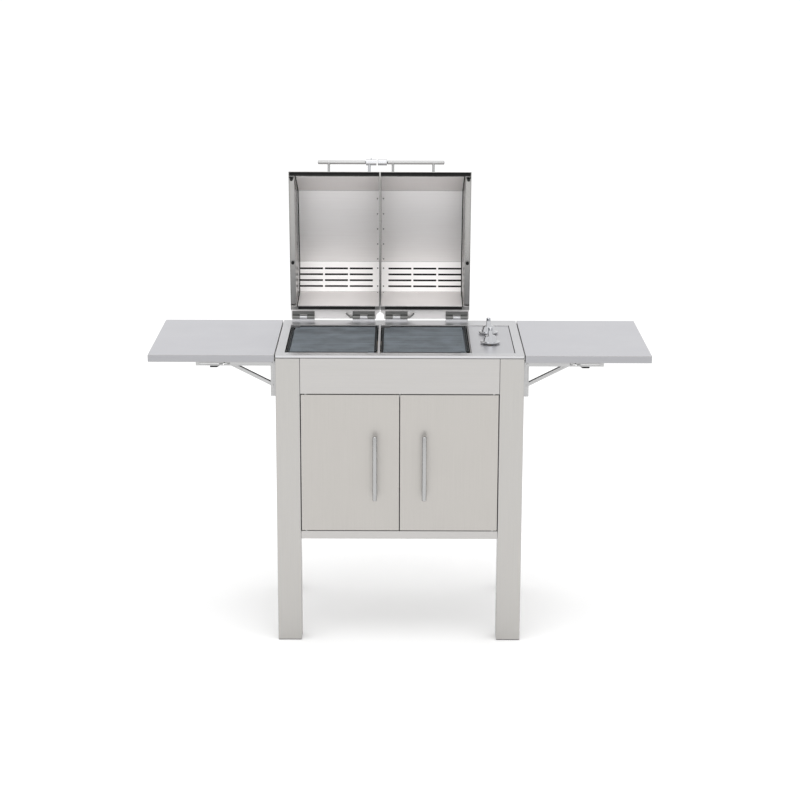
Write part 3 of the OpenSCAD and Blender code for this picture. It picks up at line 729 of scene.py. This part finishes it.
def smooth_mesh(shape: bmesh.types.BMesh, name: str, sharp_deg: float) -> bpy.types.Mesh:
    """Turn a built shape into a smooth mesh, and free the shape.

    Args:
        shape: The shape.
        name: The mesh's name.
        sharp_deg: Folds steeper than this stay sharp.

    Returns:
        The mesh.
    """
    mesh = bpy.data.meshes.new(name)
    shape.to_mesh(mesh)
    shape.free()
    mesh.shade_smooth()
    mesh.set_sharp_from_angle(angle=math.radians(sharp_deg))
    return mesh


def seat_on(at: Vector, facing: Vector) -> Matrix:
    """Make the matrix that stands a turned piece on a point, facing a direction."""
    return Matrix.Translation(at) @ facing.to_track_quat("Z", "Y").to_matrix().to_4x4()


@dataclass(frozen=True)
class Fastener:
    """A pan-head screw with a hexagon socket, turned about its axis."""

    head_mm: float = 9.0
    tall_mm: float = 3.2
    socket_mm: float = 4.6
    deep_mm: float = 2.0
    lip_mm: float = 0.25
    around: int = 24
    sharp_deg: float = 35.0

    def rings(self) -> list[tuple[float, float, bool]]:
        """List the head's rings from its rim to the socket's floor.

        Returns:
            Radius and height of each ring in millimetres, and whether it is a hexagon.
        """
        head, top, socket = self.head_mm / 2, self.tall_mm, self.socket_mm / 2
        return [
            (head, 0.0, False),
            (head, top * 0.45, False),
            (head * 0.93, top * 0.72, False),
            (head * 0.78, top * 0.92, False),
            (head * 0.6, top, False),
            (socket * 1.08, top, True),
            (socket, top - self.lip_mm, True),
            (socket, top - self.deep_mm, True),
        ]

    def add_to(self, shape: bmesh.types.BMesh, seat: Matrix) -> None:
        """Add one screw head to a mesh.

        Args:
            shape: The mesh.
            seat: Where the head sits, with its axis along local Z.
        """
        rings = []
        for radius, height, hexagonal in self.rings():
            ring = []
            for i in range(self.around):
                turn = 2 * math.pi * i / self.around
                reach = radius * MM
                if hexagonal:
                    reach /= math.cos((turn % (math.pi / 3)) - math.pi / 6)
                at = Vector((reach * math.cos(turn), reach * math.sin(turn), height * MM))
                ring.append(shape.verts.new(seat @ at))
            rings.append(ring)
        close_rings(shape, rings)

    def mesh(self, name: str, seats: list[Matrix]) -> bpy.types.Mesh:
        """Build several equal screw heads as one mesh.

        Args:
            name: The mesh's name.
            seats: Where each head sits.

        Returns:
            The mesh.
        """
        shape = bmesh.new()
        for seat in seats:
            self.add_to(shape, seat)
        return smooth_mesh(shape, name, self.sharp_deg)


@dataclass(frozen=True)
class Grip:
    """A turned bar on short posts, each with a flange on the sheet."""

    bar_mm: float
    post_mm: float
    flange_mm: float
    flange_thick_mm: float = 1.6
    steps: int = 6
    around: int = 32
    sharp_deg: float = 50.0

    def bar_profile(self, long: float) -> list[tuple[float, float]]:
        """Give the bar's rings: a domed end, the straight part, and a second domed end.

        Args:
            long: The bar's length in metres.

        Returns:
            Radius and height of each ring in metres.
        """
        radius, dome = self.bar_mm * MM / 2, self.bar_mm * MM / 4
        turns = [math.pi / 2 * i / self.steps for i in range(1, self.steps + 1)]
        foot = [(radius * math.sin(t), dome * (1 - math.cos(t))) for t in turns]
        return foot + [(r, long - z) for r, z in reversed(foot)]

    def post_profile(self, long: float) -> list[tuple[float, float]]:
        """Give a post's rings: flange, fillet and stem.

        Args:
            long: The post's length in metres.

        Returns:
            Radius and height of each ring in metres.
        """
        stem, flange = self.post_mm * MM / 2, self.flange_mm * MM / 2
        thick = self.flange_thick_mm * MM
        soft = thick / 3
        return [
            (flange - soft, 0.0),
            (flange, soft),
            (flange, thick - soft),
            (flange - soft, thick),
            (stem + 2 * soft, thick + soft / 2),
            (stem + soft / 2, thick + 2 * soft),
            (stem, thick + 5 * soft),
            (stem, long),
        ]

    def turn(
        self, shape: bmesh.types.BMesh, seat: Matrix, profile: list[tuple[float, float]]
    ) -> None:
        """Add a closed turned shape to a mesh.

        Args:
            shape: The mesh.
            seat: Where the shape stands, with its axis along local Z.
            profile: Radius and height of each ring in metres, from the foot up.
        """
        turns = [2 * math.pi * i / self.around for i in range(self.around)]
        rings = []
        for radius, height in profile:
            ring = [Vector((radius * math.cos(t), radius * math.sin(t), height)) for t in turns]
            rings.append([shape.verts.new(seat @ at) for at in ring])
        close_rings(shape, rings)

    def mesh(
        self, name: str, ends: tuple[Vector, Vector], feet: list[Vector], rise: Vector
    ) -> bpy.types.Mesh:
        """Build the grip.

        Args:
            name: The mesh's name.
            ends: The bar's two ends, on its axis.
            feet: Where each post stands on the sheet.
            rise: From a post's foot to the bar's axis.

        Returns:
            The mesh.
        """
        shape = bmesh.new()
        along = ends[1] - ends[0]
        self.turn(shape, seat_on(ends[0], along), self.bar_profile(along.length))
        for foot in feet:
            self.turn(shape, seat_on(foot, rise), self.post_profile(rise.length))
        return smooth_mesh(shape, name, self.sharp_deg)


def stands_up(_centre: Vector, normal: Vector) -> bool:
    """Say whether a face stands upright."""
    return abs(normal.z) < SIDEWAYS


# ---------------------------------------------------------------- sub-assemblies


@dataclass
class Cabinet:
    """Legs, panels and feet."""

    shop: Workshop
    screw_inset_mm: float = 14.0
    screws_high: int = 5

    def build(self) -> None:
        """Dress the cabinet and add the back panel's screws."""
        kit, mats = self.shop, self.shop.finishes
        for side in Side:
            kit.soften(f"front_leg_{side.word}", mats.leg_steel, mats.edge, 1.0)
            kit.soften(f"rear_leg_{side.word}", mats.leg_steel, mats.edge, 1.0)
            kit.soften(f"side_panel_{side.word}", mats.rail_steel, mats.edge)
        for sheet in ("fascia", "bottom_rail", "back_panel", "cabinet_floor"):
            kit.soften(sheet, mats.rail_steel, mats.edge)
        kit.soften("foot_caps", mats.nylon, radius_mm=0.8)
        self.back_screws()

    def back_screws(self) -> None:
        """Add the screws that hold the back panel to the rear legs."""
        low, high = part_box("back_panel")
        inset = self.screw_inset_mm * MM
        pitch = (high.z - low.z - 2 * inset) / (self.screws_high - 1)
        rows = [low.z + inset + pitch * row for row in range(self.screws_high)]
        seats = [
            seat_on(Vector((x, high.y, z)), Vector((0, 1, 0)))
            for x in (low.x + inset, high.x - inset)
            for z in rows
        ]
        mesh = Fastener().mesh("back_screws", seats)
        mesh.materials.append(self.shop.finishes.bracket_steel)
        self.shop.place(mesh, "back_panel_screws", "back_panel")


@dataclass
class Cooktop:
    """Top frame, firebox, plates, burners, gas line and drip tray."""

    shop: Workshop
    border_mm: tuple[float, float] = (7.5, 14.5)

    def build(self) -> None:
        """Dress the cooktop."""
        kit, mats = self.shop, self.shop.finishes
        kit.soften("top_frame", mats.top_steel, mats.edge, 0.8)
        kit.soften("control_panel", mats.panel_steel, mats.edge)
        kit.soften("plate_divider", mats.top_steel, mats.edge)
        kit.soften("firebox", mats.tub_steel)
        kit.soften("drip_tray", mats.tray_steel, mats.edge)
        for end in ("front", "rear"):
            kit.soften(f"burner_{end}", mats.burner_steel, radius_mm=0.4)
        for side in Side:
            self.plate(f"hotplate_{side.word}")
        kit.dress("gas_manifold", mats.brass)
        kit.dress("gas_valves", mats.brass)

    def plate(self, node: str) -> None:
        """Dress a plate, whose raised border is darker than the ribs that food scours.

        Args:
            node: The plate.
        """
        low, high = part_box(node)
        side, end = self.border_mm[0] * MM, self.border_mm[1] * MM

        def on_border(centre: Vector, _normal: Vector) -> bool:
            """Say whether a face is part of the border."""
            beside = min(centre.x - low.x, high.x - centre.x) < side
            return beside or min(centre.y - low.y, high.y - centre.y) < end

        mats = self.shop.finishes
        self.shop.soften(node, mats.iron, radius_mm=0.8, others=((mats.dark_iron, on_border),))


@dataclass
class Lid:
    """One lid with its hinges, handle, seals and rivets."""

    shop: Workshop
    side: Side
    grip: Grip = Grip(12.0, 8.4, 15.0)
    post_mm: float = 46.0
    post_lean_deg: float = 22.9
    outer_post_mm: float = 35.5
    inner_post_mm: float = 164.0
    flange_mm: float = 30.0
    cheek_mm: float = 18.0
    bead_mm: float = 3.2
    bead_proud_mm: float = 1.4
    bead_mitre: float = 0.5

    def build(self) -> None:
        """Dress the lid."""
        kit, mats, word = self.shop, self.shop.finishes, self.side.word
        self.shell("skin", mats.lid_steel, -1)
        self.shell("liner", mats.liner_steel, 1)
        # Faces over the hinges take the liner's near-white finish as a painted highlight strip.
        painted_light_strip = (mats.liner_steel, self.near_hinge)
        kit.soften(f"lid_ends_{word}", mats.cheek_steel, mats.edge, others=(painted_light_strip,))
        kit.soften(f"lid_gasket_{word}", mats.rubber)
        kit.dress(f"lid_rivets_{word}", mats.hinge_steel)
        kit.soften(f"lid_leaves_{word}", mats.hinge_steel, radius_mm=0.4)
        self.handle()
        self.bead()
        # The collar's rounded edges carry a painted dark reflection and shade.
        kit.soften(f"handle_collar_{word}", mats.chrome, mats.dark_edge, 0.8, 3)
        kit.soften(f"hinge_pin_{word}", mats.hinge_steel, radius_mm=0.6)

    def shell(self, sheet: str, material: bpy.types.Material, facing: int) -> None:
        """Dress one of the two sheets, whose faces towards the hollow between them are painted
        dark as painted shade.

        Args:
            sheet: The sheet, as it starts its part's name.
            material: Finish of its open side.
            facing: Plus one if its hollow side faces away from the lid's middle, else minus one.
        """
        node = f"lid_{sheet}_{self.side.word}"
        low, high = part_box(f"lid_liner_{self.side.word}")
        middle = Vector((0, low.y, (low.z + high.z) / 2))

        def in_hollow(centre: Vector, normal: Vector) -> bool:
            """Say whether a face looks into the hollow, which is painted dark as shade."""
            out = Vector((0, centre.y - middle.y, centre.z - middle.z)).normalized()
            return abs(normal.x) < SIDEWAYS and facing * normal.dot(out) > SIDEWAYS / 2

        mats = self.shop.finishes
        self.shop.soften(
            node,
            material,
            mats.edge,
            # Faces into the hollow take painted shade, and faces over the hinges a painted
            # highlight.
            others=((mats.tub_steel, in_hollow), (mats.liner_steel, self.near_hinge)),
        )

    def near_hinge(self, centre: Vector, normal: Vector) -> bool:
        """Say whether a face is on the strip that faces forward over the hinges, painted bright
        as a painted highlight.
        """
        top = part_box(f"lid_skin_{self.side.word}")[0].z + self.flange_mm * MM
        return centre.z < top and abs(normal.x) < SIDEWAYS and normal.y < 0.3

    def handle(self) -> None:
        """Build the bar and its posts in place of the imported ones."""
        node = f"lid_handle_{self.side.word}"
        low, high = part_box(node)
        ring_low, ring_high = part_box("handle_collar_right")
        axis = (ring_low + ring_high) / 2
        lean = math.radians(self.post_lean_deg)
        rise = Vector((0, math.sin(lean), math.cos(lean))) * self.post_mm * MM
        ends = (Vector((low.x, axis.y, axis.z)), Vector((high.x, axis.y, axis.z)))
        outer, inward = self.side.outer(low, high), -self.side.value * MM
        insets = [self.outer_post_mm]
        if self.side is Side.RIGHT:  # the left bar's inner post is part of its collar
            insets.append(self.inner_post_mm)
        feet = [Vector((outer + inward * inset, axis.y, axis.z)) - rise for inset in insets]
        mesh = self.grip.mesh(node, ends, feet, rise)
        mesh.materials.append(self.shop.finishes.bar_steel)
        piece = self.shop.place(mesh, f"{node}_turned", node)
        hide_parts(node)

    def bead_outline(self) -> list[Vector]:
        """Find the outline of the liner's outer end, grown by what the bead stands proud.

        Returns:
            The outline's corners in order, on the liner's outer end.
        """
        node = f"lid_liner_{self.side.word}"
        outer = self.side.outer(*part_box(node))
        source = self.shop.merged(node)
        ends = [f for f in source.faces if all(abs(v.co.x - outer) < ON_PLANE_M for v in f.verts)]
        cap = max(ends, key=lambda face: face.calc_area())
        ring = [v.co.copy() for v in cap.verts]
        facing = Vector((cap.normal.x, 0, 0))
        source.free()
        grown = []
        for before, at, after in zip(ring[-1:] + ring[:-1], ring, ring[1:] + ring[:1]):
            outs = [side.normalized().cross(facing) for side in (at - before, after - at)]
            middle = (outs[0] + outs[1]).normalized()
            reach = self.bead_proud_mm * MM / max(self.bead_mitre, middle.dot(outs[0]))
            grown.append(at + middle * reach)
        return grown

    def bead(self) -> None:
        """Lay a dark rubber strip along the inner corner where the liner meets the cheek."""
        inward = Vector((-self.side.value * MM, 0, 0))
        near = [at + inward * self.cheek_mm for at in self.bead_outline()]
        far = [at + inward * self.bead_mm for at in near]
        count = len(near)
        faces = [list(range(count)), list(reversed(range(count, 2 * count)))]
        faces += [(i, i + count, (i + 1) % count + count, (i + 1) % count) for i in range(count)]
        mesh = bpy.data.meshes.new("bead")
        mesh.from_pydata([tuple(at) for at in near + far], [], faces)
        shape = bmesh.new()
        shape.from_mesh(mesh)
        bmesh.ops.connect_verts_concave(shape, faces=shape.faces)
        bmesh.ops.recalc_face_normals(shape, faces=shape.faces)
        shape.to_mesh(mesh)
        shape.free()
        mesh.materials.append(self.shop.finishes.rubber)
        self.shop.place(mesh, f"lid_bead_{self.side.word}", f"lid_gasket_{self.side.word}")


@dataclass
class Doors:
    """Two doors with their bars and pivots."""

    shop: Workshop
    post_inset_mm: float = 24.0
    post_mm: float = 9.0
    flange_mm: float = 16.0

    def build(self) -> None:
        """Dress the doors."""
        kit, mats = self.shop, self.shop.finishes
        for side in Side:
            kit.soften(f"door_{side.word}", mats.door_steel, mats.edge, 0.9)
            self.handle(side)
        kit.dress("door_fittings", mats.bracket_steel)

    def handle(self, side: Side) -> None:
        """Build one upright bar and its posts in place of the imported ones.

        Args:
            side: The door's side.
        """
        node = f"door_handle_{side.word}"
        low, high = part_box(node)
        bar = high.x - low.x
        grip = Grip(bar / MM, self.post_mm, self.flange_mm)
        x, y = (low.x + high.x) / 2, low.y + bar / 2
        rise = Vector((0, y - high.y, 0))
        inset = self.post_inset_mm * MM
        feet = [Vector((x, high.y, z)) for z in (low.z + inset, high.z - inset)]
        mesh = grip.mesh(node, (Vector((x, y, low.z)), Vector((x, y, high.z))), feet, rise)
        mesh.materials.append(self.shop.finishes.upright_bar_steel)
        piece = self.shop.place(mesh, f"{node}_turned", node)
        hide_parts(node)


@dataclass
class Shelf:
    """One folding shelf with its arms, braces and release levers."""

    shop: Workshop
    side: Side

    def build(self) -> None:
        """Dress the shelf."""
        kit, mats, word = self.shop, self.shop.finishes, self.side.word
        # The shelf's upright faces take a darker copy of its steel as painted shade.
        shaded_aprons = (mats.apron_steel, stands_up)
        kit.soften(f"shelf_{word}", mats.shelf_steel, mats.edge, 0.9, others=(shaded_aprons,))
        kit.soften(f"shelf_arms_{word}", mats.bracket_steel, mats.edge, 0.5)
        kit.soften(f"braces_{word}", mats.bracket_steel, mats.edge, 0.5)
        kit.soften(f"release_levers_{word}", mats.nylon, radius_mm=0.9)


@dataclass
class Controls:
    """Knobs, valve stems and the hardware that two lids share."""

    shop: Workshop

    def build(self) -> None:
        """Dress the controls."""
        kit, mats = self.shop, self.shop.finishes
        for end in ("front", "rear"):
            # The knobs' rounded edges carry a painted dark reflection and shade.
            kit.soften(f"knob_{end}", mats.chrome, mats.dark_edge, 1.0, 3)
            kit.dress(f"stem_{end}", mats.brass)
        kit.soften("link_bolt", mats.chrome, radius_mm=0.4)
        kit.soften("hinge_leaves", mats.top_steel, mats.edge, 0.4)
        kit.soften("bracket_plates", mats.bracket_steel, mats.edge, 0.5)


# ---------------------------------------------------------------- studio


@dataclass(frozen=True)
class Softbox:
    """A large soft lamp that faces a point."""

    name: str
    at: tuple[float, float, float]
    towards: tuple[float, float, float]
    wide: float
    tall: float
    watts: float


@dataclass
class Studio:
    """Floor, light and camera."""

    lens_mm: float = 90.72
    eye: tuple[float, float, float] = (-0.0022, -6.2065, 2.2977)
    down_deg: float = 14.51
    turn_deg: float = -0.03
    roll_deg: float = 0.18
    sensor_mm: float = 36.0
    sight_reach: float = 300.0
    floor_reach: float = 60.0
    sky: float = 1.0
    softboxes: tuple[Softbox, ...] = (
        Softbox("overhead_softbox", (0, -1.0, 6.0), (0, 0, 0.9), 6.0, 5.0, 108.0),
        Softbox("front_softbox", (0, -9.0, 4.2), (0, 0, 1.0), 8.0, 4.0, 118.0),
    )

    def build(self) -> None:
        """Set the stage."""
        self.floor()
        self.world()
        for box in self.softboxes:
            self.lamp(box)
        self.camera()
        scene = bpy.context.scene
        scene.view_settings.view_transform = "Standard"
        scene.view_settings.look = "None"

    def floor(self) -> None:
        """Lay a plain white sweep under the barbecue."""
        reach = self.floor_reach
        mesh = bpy.data.meshes.new("floor")
        corners = [(-reach, -reach, 0), (reach, -reach, 0), (reach, reach, 0), (-reach, reach, 0)]
        mesh.from_pydata(corners, [], [(0, 1, 2, 3)])
        mesh.materials.append(PaperSweep("matt_white_paper_sweep").material())
        floor = bpy.data.objects.new("floor", mesh)
        bpy.context.scene.collection.objects.link(floor)

    def world(self) -> None:
        """Surround the barbecue with even white light."""
        world = bpy.data.worlds.new("white_studio")
        world.use_nodes = True
        tree = world.node_tree
        tree.nodes.clear()
        links = {"Color": linear("#FFFFFF"), "Strength": self.sky}
        sky = add_node(tree, "ShaderNodeBackground", links)
        add_node(tree, "ShaderNodeOutputWorld", {"Surface": sky})
        bpy.context.scene.world = world

    def lamp(self, box: Softbox) -> None:
        """Hang one softbox.

        Args:
            box: The softbox.
        """
        light = bpy.data.lights.new(box.name, "AREA")
        light.shape = "RECTANGLE"
        light.size = box.wide
        light.size_y = box.tall
        light.energy = box.watts
        lamp = bpy.data.objects.new(box.name, light)
        lamp.location = box.at
        aim = Vector(box.towards) - Vector(box.at)
        lamp.rotation_euler = aim.to_track_quat("-Z", "Y").to_euler()
        lamp.visible_camera = False
        bpy.context.scene.collection.objects.link(lamp)

    def camera(self) -> None:
        """Stand the camera a little above the lids' rims, looking down on the plates."""
        data = bpy.data.cameras.new("camera")
        data.lens = self.lens_mm
        data.sensor_width = self.sensor_mm
        data.clip_end = self.sight_reach
        camera = bpy.data.objects.new("camera", data)
        turned = Matrix.Rotation(math.radians(self.turn_deg), 4, "Z")
        tipped = Matrix.Rotation(math.radians(90 - self.down_deg), 4, "X")
        rolled = Matrix.Rotation(math.radians(self.roll_deg), 4, "Z")
        camera.matrix_world = Matrix.Translation(self.eye) @ turned @ tipped @ rolled
        bpy.context.scene.collection.objects.link(camera)
        bpy.context.scene.camera = camera


def main() -> None:
    """Build the barbecue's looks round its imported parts."""
    logging.basicConfig(level=logging.INFO, format="%(name)s: %(message)s")
    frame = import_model()
    shop = Workshop(frame, Finishes())
    Cabinet(shop).build()
    Cooktop(shop).build()
    for side in Side:
        Lid(shop, side).build()
    Doors(shop).build()
    for side in Side:
        Shelf(shop, side).build()
    Controls(shop).build()
    Studio().build()
    LOG.info("%d pieces made", len(shop.made))


if __name__ == "__main__":
    main()
